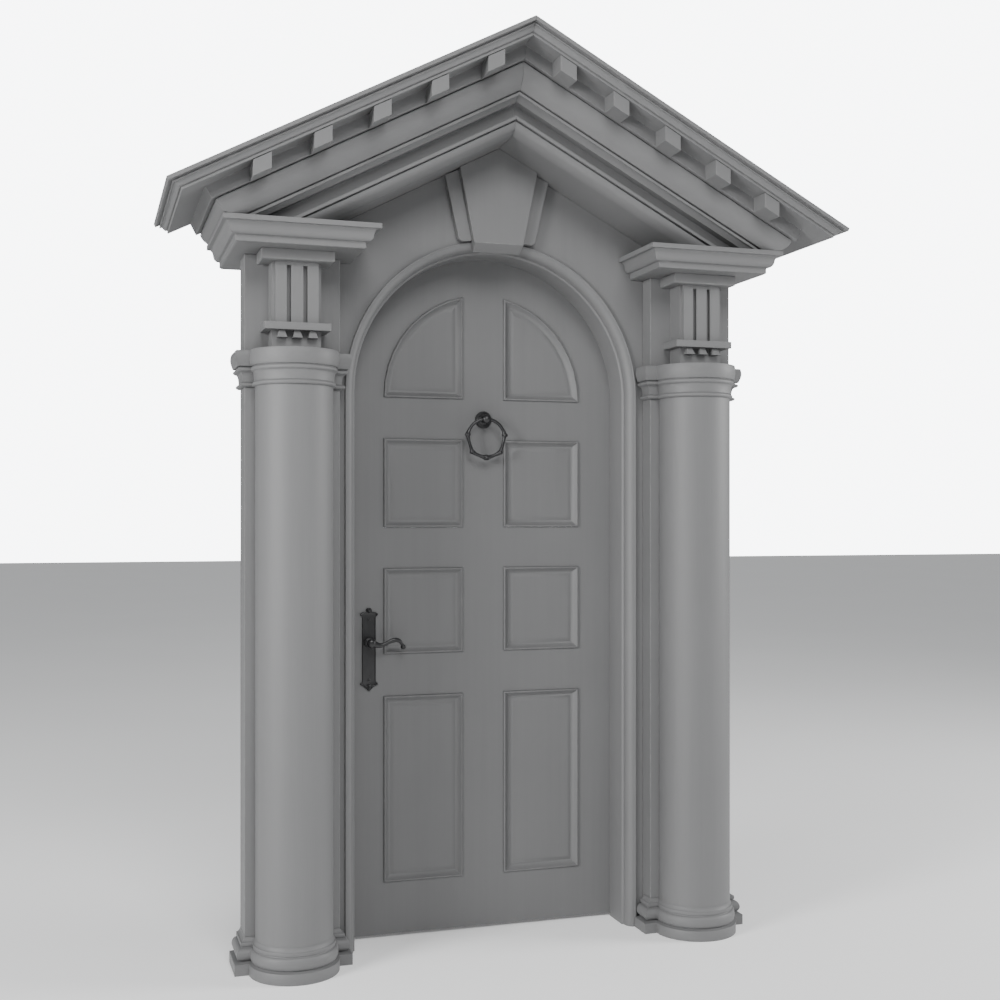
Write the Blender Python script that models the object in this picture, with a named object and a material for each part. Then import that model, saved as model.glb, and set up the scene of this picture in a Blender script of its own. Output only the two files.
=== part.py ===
"""Pedimented door surround with an arched door of eight panels.

The doorset stands on the floor at Z = 0 and faces -Y, and the origin is the middle of its
box. Sizes are in metres, and depths are measured from the flat back of the piers.
"""
import math

import bmesh
import bpy
from mathutils import Matrix

GAP = 0.0003                 # between neighbouring pieces

# Doorway: an opening with a round head
REVEAL_R = 0.4588            # half width of the opening, and radius of its head
CASING_WIDE = 0.0377         # casing and archivolt, seen from the front
CASING_PROUD = 0.0585        # their outer edge in front of the piers' backs
CASING_ROUND = 0.0350        # how far the quarter round of the casing falls back
BEAD_WIDE = 0.0062           # bead between that round and the reveal
WALL_PROUD = 0.0500
WALL_THICK = 0.0500
REVEAL_DEEP = 0.0854         # front of the door behind the piers' backs
ARCH_STEPS = 28

# Columns and piers
STRIP_WIDE = 0.0276          # wall between casing and pier
PIER_HALF = 0.1458
PIER_DEEP = 0.1105
SHAFT_R = 0.1175
SHAFT_STAND = 0.0325         # axis of the half-round shaft in front of the pier
BASE_TALL = 0.1070
SHAFT_TALL = 1.6664
CAPITAL_TALL = 0.1096
PLINTH_TALL = 0.0340
PLINTH_OUT = 0.0340
TORUS_TALL = 0.0390
TORUS_OUT = 0.0270
BASE_FILLET = 0.0150
NECK_BEAD_TALL = 0.0150
NECK_BEAD_OUT = 0.0148
BAND_TALL = 0.0480           # tall round band at the top of the capital
BAND_OUT = 0.0314
COLLAR_TALL = 0.0170          # bead under that band
ROUND_SHARE = 0.58           # mouldings stand out less round the shaft than on the pier
ARC_STEPS = 18

# Frieze block over each capital
BLOCK_TALL = 0.2953
BLOCK_HALF = 0.0740
BLOCK_STAND = 0.0755         # front of the block in front of the pier
LEG_PROUD = 0.0120           # the three legs in front of the block
LEGS_HALF = 0.0648
SLOT_AT = 0.0248             # middle of each slot from the middle of the block
SLOT_WIDE = 0.0131
SLOT_DEEP = 0.0150
SLOT_TOP = 0.0110            # plain strip between the slots and the cap
CAP_TALL = 0.0325
CAP_HALF = 0.1100
CAP_PROUD = 0.0390
CAP_CHAMFER = 0.0035
REGULA_UP = 0.0565           # underside of the regula over the capital
REGULA_TALL = 0.0220
REGULA_HALF = 0.0995
REGULA_PROUD = 0.0320
GUTTA_TALL = 0.0230
GUTTA_WIDE = 0.0290
GUTTA_NECK = 0.0165
GUTTA_PITCH = 0.0463

# Impost cornice
IMPOST_TALL = 0.0727
IMPOST_OUT = 0.0870          # overhang of its top fillet at each side
IMPOST_DEEP = 0.3230         # front of its top fillet
IMPOST_FILLET = 0.0150
CORONA_TALL = 0.0170
TAIL_BACK = 0.1700           # both cornices run on into the wall to here

# Pediment
EAVE_RISE = 0.0580           # edge of the eave over the impost cornice
EAVE_OUT = 0.2525            # edge of the eave beyond the pier
EAVE_STAND = 0.1330          # front of the eave in front of the impost cornice
PEDIMENT_RISE = 0.5620
RAKE_DEEP = 0.2650           # raking cornice, square to its slope
CROWN_DEEP = 0.0455          # its upper mouldings
CROWN_IN = 0.0260
SOFFIT_IN = 0.1040           # fascia behind the mutules
FASCIA_TALL = 0.0430
OVOLO_TALL = 0.0655
OVOLO_IN = 0.0360
MUTULES = 5
MUTULE_FIRST = 0.0880
MUTULE_PITCH = 0.1725
MUTULE_WIDE = 0.0517
MUTULE_DROP = 0.0408
MUTULE_IN = 0.0290

# Keystone and its side stones
KEY_PROUD = 0.0940
KEY_HALF = 0.0833
KEY_SPREAD = 0.2017          # widening for each metre of height
KEY_OVER = 0.0145            # foot of its face below the archivolt's outer edge
NOSE_TALL = 0.0260
NOSE_IN = 0.0300
SIDE_PROUD = 0.0740
SIDE_WIDE = 0.0450
SIDE_ROUND = 0.0120

# Door
SPRING_UP = 0.0076           # centre of the round head over the foot of the capitals
REBATE = 0.0112
LEAF_THICK = 0.0445
LEAF_CLEAR = 0.0030
LEAF_BOTTOM = 0.0100
MUNTIN_HALF = 0.0706
STILE_WIDE = 0.1170
BOTTOM_RAIL = 0.1811         # top of the lowest rail over the floor
LOWER_TALL = 0.6116
LOCK_RAIL = 0.1373
MIDDLE_TALL = 0.2821
UPPER_RAIL = 0.1339
UPPER_TALL = 0.2927
TOP_RAIL = 0.1344
MOULD_PROUD = 0.0070         # crest of the panel moulding in front of the leaf
MOULD_WIDE = 0.0240
PANEL_SUNK = 0.0090
FIELD_AT = 0.0400
FIELD_SUNK = 0.0025
BACK_SUNK = 0.0080

# Furniture
HINGE_R = 0.0060
HINGE_TALL = 0.1000
HINGE_OFF = 0.0065           # pin behind the back of the leaf
HINGE_UP = (0.2500, 1.0500, 1.6500)
KNOCKER_UNDER = 0.0750       # eye of the ring below the round head's centre
ROSE_R = 0.0290
EYE_OFF = 0.0374             # eye of the ring in front of the leaf
EYE_R = 0.0085
RING_HALF = 0.0640
RING_TALL = 0.1270
RING_TUBE = 0.0058
HANDLE_FROM_EDGE = 0.0682
HANDLE_Z = 0.9700
PLATE_LONG = 0.2730
PLATE_HALF = 0.0228
PLATE_HORN = 0.0055           # scrolled shoulders beyond its straight sides
PLATE_THICK = 0.0050
PLATE_DOWN = 0.0235          # middle of the plate below the lever
COLLAR_R = 0.0150
COLLAR_OUT = 0.0140
LEVER_STAND = 0.0290
LEVER_REACH = 0.0400
LEVER_LONG = 0.1125
LEVER_R = 0.0110

# Heights, widths and depths that follow from these
CAPITAL_BOTTOM = BASE_TALL + SHAFT_TALL
CAPITAL_TOP = CAPITAL_BOTTOM + CAPITAL_TALL
IMPOST_BOTTOM = CAPITAL_TOP + BLOCK_TALL
IMPOST_TOP = IMPOST_BOTTOM + IMPOST_TALL
EAVE_Z = IMPOST_TOP + EAVE_RISE
APEX_Z = EAVE_Z + PEDIMENT_RISE
SPRING_Z = CAPITAL_BOTTOM + SPRING_UP
CASING_OUT = REVEAL_R + CASING_WIDE
PIER_INNER = CASING_OUT + STRIP_WIDE
COLUMN_X = PIER_INNER + PIER_HALF
EAVE_X = COLUMN_X + PIER_HALF + EAVE_OUT
RAKE_FRONT = IMPOST_DEEP + EAVE_STAND
SLOPE = math.atan2(PEDIMENT_RISE, EAVE_X)
RAKE_LONG = math.hypot(EAVE_X, PEDIMENT_RISE)
LEAF_HALF = REVEAL_R + REBATE
LEAF_BACK = REVEAL_DEEP + LEAF_THICK
SHAFT_Y = -PIER_DEEP - SHAFT_STAND
LOWER_TOP = BOTTOM_RAIL + LOWER_TALL
MIDDLE_BOTTOM = LOWER_TOP + LOCK_RAIL
MIDDLE_TOP = MIDDLE_BOTTOM + MIDDLE_TALL
UPPER_BOTTOM = MIDDLE_TOP + UPPER_RAIL
UPPER_TOP = UPPER_BOTTOM + UPPER_TALL
ARCHED_BOTTOM = UPPER_TOP + TOP_RAIL
ROWS = {"upper": (UPPER_BOTTOM, UPPER_TOP), "middle": (MIDDLE_BOTTOM, MIDDLE_TOP),
        "lower": (BOTTOM_RAIL, LOWER_TOP)}
PANEL_OUT = REVEAL_R - STILE_WIDE

for old in list(bpy.data.objects):
    bpy.data.objects.remove(old)


def material(name, colour, roughness, metallic=0.0):
    made = bpy.data.materials.new(name)
    made.use_nodes = True
    shader = made.node_tree.nodes["Principled BSDF"]
    shader.inputs["Base Color"].default_value = (*colour, 1.0)
    shader.inputs["Roughness"].default_value = roughness
    shader.inputs["Metallic"].default_value = metallic
    return made


def paint(name):
    return material(name + " paint", (0.212, 0.212, 0.212), 0.55)


def iron(name):
    return material(name + " iron", (0.035, 0.035, 0.037), 0.35, 1.0)


def solid(name, points, faces, finish, round_piece=False):
    """One closed mesh from points and faces, with its normals turned outwards."""
    mesh = bpy.data.meshes.new(name)
    mesh.from_pydata([tuple(p) for p in points], [], faces)
    work = bmesh.new()
    work.from_mesh(mesh)
    bmesh.ops.remove_doubles(work, verts=work.verts, dist=1e-6)
    bmesh.ops.recalc_face_normals(work, faces=work.faces)
    work.to_mesh(mesh)
    work.free()
    mesh.materials.append(finish)
    made = bpy.data.objects.new(name, mesh)
    bpy.context.scene.collection.objects.link(made)
    if round_piece:
        mesh.shade_smooth()
        mesh.set_sharp_from_angle(angle=math.radians(35))
    return made


def loft(name, rings, finish, round_piece=False):
    """Skins a stack of closed rings with the same number of points, and closes both ends."""
    count = len(rings[0])
    points = [p for ring in rings for p in ring]
    faces = [tuple(range(count))]
    faces.append(tuple(range(len(points) - count, len(points))))
    for level in range(len(rings) - 1):
        for i in range(count):
            j = (i + 1) % count
            a, b = level * count, (level + 1) * count
            faces.append((a + i, a + j, b + j, b + i))
    return solid(name, points, faces, finish, round_piece)


def prism(name, outline, front, back, finish):
    """An outline in X and Z, run from front to back along Y."""
    rings = [[(x, y, z) for x, z in outline] for y in (front, back)]
    return loft(name, rings, finish)


def box(name, low, high, finish):
    outline = [(low[0], low[2]), (high[0], low[2]), (high[0], high[2]), (low[0], high[2])]
    return prism(name, outline, low[1], high[1], finish)


def boolean(target, others, operation="DIFFERENCE"):
    """Cuts the others from the target, or joins them to it, and removes them."""
    for other in others:
        step = target.modifiers.new(operation, "BOOLEAN")
        step.operation = operation
        step.solver = "EXACT"
        step.object = other
    graph = bpy.context.evaluated_depsgraph_get()
    made = bpy.data.meshes.new_from_object(target.evaluated_get(graph))
    target.modifiers.clear()
    target.data = made
    for other in others:
        bpy.data.objects.remove(other)
    return target


def circle(radius, steps):
    """Points of a circle as pairs, without a repeat at the end."""
    turns = [2 * math.pi * i / steps for i in range(steps)]
    return [(radius * math.cos(t), radius * math.sin(t)) for t in turns]


# Bases, shafts, piers and capitals

def shaft_arc(radius, face):
    """The half-round shaft's arc in X and Y, from where it leaves the plane Y = face."""
    start = math.asin((face - SHAFT_Y) / radius)
    turns = [start - (math.pi + 2 * start) * i / ARC_STEPS for i in range(ARC_STEPS + 1)]
    return [(radius * math.cos(t), SHAFT_Y + radius * math.sin(t)) for t in turns]


def column_ring(side, out, z):
    """The pier with its shaft, grown by out, and less at the round, at height z."""
    half = PIER_HALF + out
    face = -PIER_DEEP - out
    stop = -CASING_PROUD - 2 * GAP
    points = [(half, 0.0), (half, face)] + shaft_arc(SHAFT_R + ROUND_SHARE * out, face)
    points += [(-half, face), (-half, stop), (-PIER_HALF, stop), (-PIER_HALF, 0.0)]
    return [(side * (COLUMN_X + x), y, z) for x, y in points]


def half_round(steps, low, high, inner, outer):
    """Rows of a convex half-round moulding between two heights."""
    turns = [math.pi * i / steps for i in range(steps + 1)]
    middle, half = (low + high) / 2, (high - low) / 2
    return [(inner + (outer - inner) * math.sin(t), middle - half * math.cos(t)) for t in turns]


def base_profile():
    """Plinth, torus, fillet and a flare up to the shaft: how far each row stands out, its height."""
    ledge = PLINTH_TALL + 0.0050
    torus_top = ledge + TORUS_TALL
    fillet = torus_top + BASE_FILLET
    flare = BASE_TALL - fillet
    foot = TORUS_OUT * 0.42
    rows = [(PLINTH_OUT, 0.0), (PLINTH_OUT, PLINTH_TALL), (foot + 0.0070, PLINTH_TALL + 0.0020)]
    rows += half_round(6, ledge, torus_top, foot, TORUS_OUT)
    rows += [(foot - 0.0020, torus_top + 0.0030), (foot + 0.0020, torus_top + 0.0040), (foot + 0.0020, fillet)]
    for share in (0.05, 0.40, 1.0):
        rows.append((GAP + 0.7 * foot * (1 - share) ** 2, fillet + flare * share))
    return rows


def capital_profile():
    """Bead, hollow neck, a larger bead and a tall round band."""
    bead_top = CAPITAL_BOTTOM + NECK_BEAD_TALL
    neck = NECK_BEAD_OUT * 0.40
    band = CAPITAL_TOP - BAND_TALL
    rows = half_round(5, CAPITAL_BOTTOM, bead_top, GAP, NECK_BEAD_OUT)[:-1]
    rows.append((neck, bead_top))
    collar = band - COLLAR_TALL
    shoulder = BAND_OUT * 0.42
    for share in (0.45, 0.80, 1.0):
        hollow = 1 - math.sqrt(1 - share * share)
        rows.append((neck + (shoulder - neck) * hollow, bead_top + (collar - bead_top) * share))
    rows += half_round(5, collar + 0.0005, band - 0.0025, shoulder, BAND_OUT * 0.74)[1:-1]
    rows += [(shoulder + 0.0020, band - 0.0020), (shoulder + 0.0020, band)]
    for share, out in ((0.10, 0.87), (0.28, 0.97), (0.50, 1.0), (0.78, 0.93)):
        rows.append((BAND_OUT * out, band + BAND_TALL * share))
    return rows + [(BAND_OUT * 0.75, CAPITAL_TOP)]


def make_column(side, word):
    finish = paint("column " + word)
    rings = [column_ring(side, out, z) for out, z in base_profile()]
    loft("column_base_" + word, rings, finish, True)
    low, high = BASE_TALL + GAP, CAPITAL_BOTTOM - GAP
    middle = side * COLUMN_X
    box("pier_" + word, (middle - PIER_HALF, -PIER_DEEP, low), (middle + PIER_HALF, 0.0, high), finish)
    arc = shaft_arc(SHAFT_R, -PIER_DEEP - GAP)
    rings = [[(side * (COLUMN_X + x), y, z) for x, y in arc] for z in (low, high)]
    loft("column_shaft_" + word, rings, finish, True)
    rings = [column_ring(side, out, z) for out, z in capital_profile()]
    loft("column_capital_" + word, rings, finish, True)


# Frieze block over each capital: legs, cap, regula and guttae

def make_frieze(side, word):
    finish = paint("frieze " + word)
    middle = side * COLUMN_X
    low, high = CAPITAL_TOP + GAP, IMPOST_BOTTOM - GAP
    cap_bottom = IMPOST_BOTTOM - CAP_TALL
    regula_low = CAPITAL_TOP + REGULA_UP
    regula_high = regula_low + REGULA_TALL
    back = -PIER_DEEP - GAP
    front = -PIER_DEEP - BLOCK_STAND
    box("upper_pier_" + word, (middle - PIER_HALF, -PIER_DEEP, low),
        (middle + PIER_HALF, 0.0, high), finish)

    block = box("triglyph_" + word, (middle - BLOCK_HALF, front, low),
                (middle + BLOCK_HALF, back, cap_bottom - GAP), finish)
    legs = box("legs", (middle - LEGS_HALF, front - LEG_PROUD, regula_high + GAP),
               (middle + LEGS_HALF, front + LEG_PROUD, cap_bottom - GAP), finish)
    boolean(block, [legs], "UNION")
    slots = []
    for at in (-SLOT_AT, SLOT_AT):
        slots.append(box("slot", (middle + at - SLOT_WIDE / 2, front - 2 * LEG_PROUD, regula_high - LEG_PROUD),
                         (middle + at + SLOT_WIDE / 2, front - LEG_PROUD + SLOT_DEEP,
                          cap_bottom - SLOT_TOP), finish))
    guard = box("guard", (middle - BLOCK_HALF, front, low), (middle + BLOCK_HALF, back, regula_high), finish)
    boolean(slots[0], [guard])
    guard = box("guard", (middle - BLOCK_HALF, front, low), (middle + BLOCK_HALF, back, regula_high), finish)
    boolean(slots[1], [guard])
    boolean(block, slots)

    rings = []
    for z, shrink in ((cap_bottom, CAP_CHAMFER), (cap_bottom + CAP_CHAMFER, 0.0), (high, 0.0)):
        half, face = CAP_HALF - shrink, front - CAP_PROUD + shrink
        rings.append([(middle + x, y, z) for x, y in ((-half, back), (-half, face), (half, face), (half, back))])
    loft("triglyph_cap_" + word, rings, finish)

    # The regula wraps the block's front and sides, back to the pier
    inner, near = BLOCK_HALF + GAP, front - GAP
    half, face = REGULA_HALF, front - REGULA_PROUD
    outline = ((-inner, back), (-half, back), (-half, face), (half, face), (half, back),
               (inner, back), (inner, near), (-inner, near))
    rings = [[(middle + x, y, z) for x, y in outline] for z in (regula_low, regula_high)]
    loft("regula_" + word, rings, finish)
    top = regula_low - GAP
    for number in (1, 2, 3):
        at = middle + (number - 2) * GUTTA_PITCH
        rings = []
        for z, wide in ((top - GUTTA_TALL, GUTTA_WIDE), (top, GUTTA_NECK)):
            half = wide / 2
            rings.append([(at - half, near, z), (at - half, near - wide, z),
                          (at + half, near - wide, z), (at + half, near, z)])
        loft("gutta_%d_%s" % (number, word), rings, finish)


# Impost cornices

def impost_profile():
    """Rows from the soffit up: distance in from the edge of the top fillet, and height."""
    fillet = IMPOST_TOP - IMPOST_FILLET
    corona = IMPOST_BOTTOM + CORONA_TALL
    rows = [(0.0470, IMPOST_BOTTOM), (0.0400, IMPOST_BOTTOM + 0.0040), (0.0400, corona)]
    foot = corona + 0.0040
    rows += [(0.0390, foot), (0.0330, foot + 0.0005)]
    for share, inset in ((0.06, 0.0290), (0.20, 0.0235), (0.42, 0.0205), (0.66, 0.0190), (0.84, 0.0165)):
        rows.append((inset, foot + (fillet - foot) * share))
    return rows + [(0.0115, fillet - 0.0005), (0.0, fillet), (0.0, IMPOST_TOP)]


def make_impost(side, word):
    middle = side * COLUMN_X
    rings = []
    for inset, z in impost_profile():
        half, face = PIER_HALF + IMPOST_OUT - inset, inset - IMPOST_DEEP
        rings.append([(middle + x, y, z) for x, y in
                      ((-half, TAIL_BACK), (-half, face), (half, face), (half, TAIL_BACK))])
    loft("impost_cornice_" + word, rings, paint("impost " + word))


# Raking cornices

def rake_profile():
    """Rows from the top down, square to the slope, and how far behind the front each one lies."""
    fascia = CROWN_DEEP + 0.0015
    ovolo = fascia + FASCIA_TALL
    foot = ovolo + OVOLO_TALL
    quirk = SOFFIT_IN + 0.0200
    round_in = SOFFIT_IN + 0.0110
    step = round_in + OVOLO_IN
    rows = [(0.0, 0.0), (0.0115, 0.0), (0.0120, 0.0140), (0.0160, 0.0145), (0.0165, 0.0110)]
    rows += [(0.0200, 0.0110), (0.0205, 0.0170), (0.0240, 0.0190), (0.0300, 0.0200), (0.0350, 0.0240)]
    rows += [(0.0365, 0.0290), (0.0390, 0.0290), (0.0395, CROWN_IN), (CROWN_DEEP, CROWN_IN)]
    rows += [(fascia, SOFFIT_IN), (ovolo - 0.0045, SOFFIT_IN), (ovolo - 0.0040, quirk), (ovolo - 0.0005, quirk)]
    for share in (0.0, 0.12, 0.32, 0.55, 0.78, 1.0):
        rows.append((ovolo + OVOLO_TALL * share, round_in + OVOLO_IN * (share - 0.12) ** 2 / 0.77))
    rows += [(foot + 0.0005, step + 0.0120), (foot + 0.0040, step + 0.0120), (foot + 0.0045, step + 0.0040)]
    rows += [(foot + 0.0120, step + 0.0050), (foot + 0.0125, step + 0.0180), (foot + 0.0240, step + 0.0340)]
    rows += [(foot + 0.0245, step + 0.0650), (foot + 0.0600, step + 0.0650), (foot + 0.0605, step + 0.0360)]
    rows += [(foot + 0.0705, step + 0.0360), (foot + 0.0710, step + 0.0500), (foot + 0.0745, step + 0.0500)]
    rows += [(foot + 0.0750, step + 0.0430), (foot + 0.0850, step + 0.0450), (foot + 0.0960, step + 0.0560)]
    return rows + [(foot + 0.1040, step + 0.0740), (RAKE_DEEP, step + 0.0870)]


def rake_point(side, u, v, y):
    """u runs down the slope from the apex, v down square to it."""
    x = u * math.cos(SLOPE) - v * math.sin(SLOPE)
    z = APEX_Z - u * math.sin(SLOPE) - v * math.cos(SLOPE)
    return (side * x, y, z)


def make_rake(side, word):
    finish = paint("raking cornice " + word)
    rings = []
    for v, inset in rake_profile():
        start = v * math.tan(SLOPE) + GAP / 2 / math.cos(SLOPE)
        end = RAKE_LONG - inset
        face = inset - RAKE_FRONT
        rings.append([rake_point(side, start, v, TAIL_BACK), rake_point(side, end, v, TAIL_BACK),
                      rake_point(side, end, v, face), rake_point(side, start, v, face)])
    rake = loft("raking_cornice_" + word, rings, finish)
    wide, deep = 2 * EAVE_X, 2 * RAKE_FRONT
    under = box("under", (-wide, -deep, 0.0), (wide, deep, IMPOST_TOP + GAP), finish)
    boolean(rake, [under])
    for number in range(MUTULES):
        make_mutule(side, word, number + 1, finish)


def make_mutule(side, word, number, finish):
    """A block under the soffit and against the fascia, with upright sides."""
    near = MUTULE_FIRST + (number - 1) * MUTULE_PITCH
    far = near + MUTULE_WIDE
    top = CROWN_DEEP + 0.0015 + GAP
    front = MUTULE_IN - RAKE_FRONT
    back = SOFFIT_IN - RAKE_FRONT - GAP
    rings = []
    for v in (top, top + MUTULE_DROP):
        lift = APEX_Z - v / math.cos(SLOPE)
        rings.append([(side * x, y, lift - x * math.tan(SLOPE))
                      for x, y in ((near, back), (far, back), (far, front), (near, front))])
    loft("mutule_%d_%s" % (number, word), rings, finish)


# Wall panel: tympanum, spandrels and the strips beside the casing

def soffit_height(x, clear):
    """Underside of the raking cornice at distance x from the middle, less a clearance."""
    return APEX_Z - (RAKE_DEEP + clear) / math.cos(SLOPE) - x * math.tan(SLOPE)


def arch_points(radius):
    """From the right foot over the arch to the left foot."""
    turns = [math.pi * i / ARCH_STEPS for i in range(ARCH_STEPS + 1)]
    arc = [(radius * math.cos(t), SPRING_Z + radius * math.sin(t)) for t in turns]
    return [(radius, 0.0)] + arc + [(-radius, 0.0)]


def make_wall():
    side = PIER_INNER - GAP
    ledge = IMPOST_TOP + GAP
    edge = (soffit_height(0.0, GAP) - ledge) / math.tan(SLOPE) - 0.0010
    right = [(side, 0.0), (side, IMPOST_BOTTOM - GAP)]
    right += [(side - IMPOST_OUT + inset, z - GAP) for inset, z in impost_profile()[:-1]]
    right += [(side - IMPOST_OUT, ledge), (edge, ledge)]
    outer = right + [(0.0, soffit_height(0.0, GAP))] + [(-x, z) for x, z in reversed(right)]
    inner = list(reversed(arch_points(CASING_OUT + GAP)))
    prism("wall_panel", outer + inner, -WALL_PROUD, WALL_THICK - WALL_PROUD, paint("wall panel"))


# Casing, archivolt, reveal, rebate and lining in one section, which runs up, over and down

def make_casing():
    rebate = LEAF_HALF + LEAF_CLEAR
    outside = PIER_INNER - GAP
    bead = REVEAL_R + BEAD_WIDE
    top, foot = CASING_OUT - 0.0030, CASING_ROUND - CASING_PROUD
    section = [(CASING_OUT, 0.0025 - CASING_PROUD), (top, -CASING_PROUD)]
    for share in (0.25, 0.50, 0.75, 1.0):
        turn = share * math.pi / 2
        section.append((top - (top - bead) * math.sin(turn), foot - CASING_ROUND * math.cos(turn)))
    section += [(bead - 0.0035, foot + 0.0030), (REVEAL_R, foot + 0.0070)]
    section += [(REVEAL_R, REVEAL_DEEP - GAP), (rebate, REVEAL_DEEP - GAP), (rebate, LEAF_BACK)]
    section += [(outside, LEAF_BACK), (outside, GAP), (CASING_OUT, GAP)]
    rings = [[(r, y, 0.0) for r, y in section]]
    for i in range(ARCH_STEPS + 1):
        turn = math.pi * i / ARCH_STEPS
        rings.append([(r * math.cos(turn), y, SPRING_Z + r * math.sin(turn)) for r, y in section])
    rings.append([(-r, y, 0.0) for r, y in section])
    loft("casing", rings, paint("casing"), True)


# Keystone and its two side stones

def make_keystone():
    finish = paint("keystone")
    foot = SPRING_Z + CASING_OUT - KEY_OVER
    back = -WALL_PROUD - GAP
    bridge = -CASING_PROUD - 2 * GAP
    low = foot + 0.0200

    def half_at(z):
        return KEY_HALF + KEY_SPREAD * (z - foot)

    lift = soffit_height(0.0, 2 * GAP)
    top = (lift - math.tan(SLOPE) * half_at(0.0)) / (1 + math.tan(SLOPE) * KEY_SPREAD)
    outline = [(-half_at(low), low), (half_at(low), low), (half_at(top), top), (0.0, lift), (-half_at(top), top)]
    key = prism("keystone", outline, -KEY_PROUD, back, finish)
    rings = []
    for z, face in ((low + 0.0020, -KEY_PROUD), (foot, -KEY_PROUD), (foot - NOSE_TALL, NOSE_IN - KEY_PROUD)):
        half = half_at(z)
        rings.append([(-half, bridge, z), (-half, face, z), (half, face, z), (half, bridge, z)])
    boolean(key, [loft("nose", rings, finish)], "UNION")
    for side, word in ((-1, "left"), (1, "right")):
        clear = 1.1 * GAP
        start = foot + 0.0090
        high = top - 0.0040
        edge = half_at(high) + SIDE_WIDE
        outline = [(half_at(start) + clear, start), (half_at(start) + SIDE_WIDE - SIDE_ROUND, start - 0.0040),
                   (half_at(start) + SIDE_WIDE, start + 0.0040),
                   (edge, soffit_height(edge, 4 * GAP)), (half_at(high) + clear, high)]
        prism("side_stone_" + word, [(side * x, z) for x, z in outline], -SIDE_PROUD, back, finish)


# Door leaf and its eight panels

def quadrant_outline(side, inset):
    radius = PANEL_OUT - inset
    low, near = ARCHED_BOTTOM + inset, MUNTIN_HALF + inset
    rise = ARCHED_BOTTOM + (SPRING_Z - ARCHED_BOTTOM)
    first = math.asin((low - SPRING_Z) / radius)
    last = math.acos(near / radius)
    turns = [first + (last - first) * i / 9 for i in range(10)]
    points = [(near, low)] + [(radius * math.cos(t), rise + radius * math.sin(t)) for t in turns]
    return [(side * x, z) for x, z in points]


def panel_outline(side, row, inset):
    if row == "arched":
        return quadrant_outline(side, inset)
    low, high = ROWS[row]
    low, high = low + inset, high - inset
    near, far = MUNTIN_HALF + inset, PANEL_OUT - inset
    return [(side * x, z) for x, z in ((near, low), (far, low), (far, high), (near, high))]


def panel_section():
    """The raised moulding round each panel, the sunk flat and the raised field."""
    rows = [(GAP, 0.0), (0.0020, -0.8 * MOULD_PROUD), (0.0060, -MOULD_PROUD)]
    fall = PANEL_SUNK + MOULD_PROUD
    for share in (0.35, 0.70, 1.0):
        rows.append((0.0060 + (MOULD_WIDE - 0.0060) * share, fall * math.sin(share * math.pi / 2) - MOULD_PROUD))
    return rows + [(MOULD_WIDE + 0.0020, PANEL_SUNK), (FIELD_AT, FIELD_SUNK)]


def make_door():
    finish = paint("door")
    outline = [(x, max(z, LEAF_BOTTOM)) for x, z in arch_points(LEAF_HALF)]
    leaf = prism("door_leaf", outline, REVEAL_DEEP, LEAF_BACK, finish)
    cutters = []
    for side, word in ((-1, "left"), (1, "right")):
        for row in ("arched", "upper", "middle", "lower"):
            cutters.append(prism("opening", panel_outline(side, row, 0.0), REVEAL_DEEP - LEAF_THICK,
                                 LEAF_BACK + LEAF_THICK, finish))
            back = LEAF_BACK - BACK_SUNK
            rings = [[(x, back, z) for x, z in panel_outline(side, row, GAP)]]
            for inset, sunk in panel_section():
                rings.append([(x, REVEAL_DEEP + sunk, z) for x, z in panel_outline(side, row, inset)])
            loft("door_panel_%s_%s" % (row, word), rings, finish)
    boolean(leaf, cutters)


# Hinges on the right edge of the door, behind its back face

HINGE_X = LEAF_HALF + LEAF_CLEAR / 2
HINGE_Y = LEAF_BACK + HINGE_OFF


def make_hinges():
    for number, z in enumerate(HINGE_UP, 1):
        rings = []
        for end in (z - HINGE_TALL / 2, z + HINGE_TALL / 2):
            rings.append([(HINGE_X + x, HINGE_Y + y, end) for x, y in circle(HINGE_R, 12)])
        loft("hinge_%d" % number, rings, iron("hinge %d" % number), True)


# Knocker: a boss on a domed rose, and a ring that hangs in its eye

EYE_Y = REVEAL_DEEP - EYE_OFF
KNOCKER_Z = SPRING_Z - KNOCKER_UNDER


def turned(name, middle, rows, finish, steps):
    """A piece turned about the Y direction: rows give distance from the door and radius."""
    rings = []
    for y, radius in rows:
        rings.append([(middle[0] + x, y, middle[1] + z) for x, z in circle(radius, steps)])
    return loft(name, rings, finish, True)


def ring_centre(turn):
    """The ring's middle line: a wide upper half that draws in to the foot in flat sides."""
    across = math.sin(turn)
    if math.cos(turn) < 0:
        across = math.copysign(abs(across) ** 0.85, across)
    return (RING_HALF * across, RING_TALL / 2 * (math.cos(turn) - 1))


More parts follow.
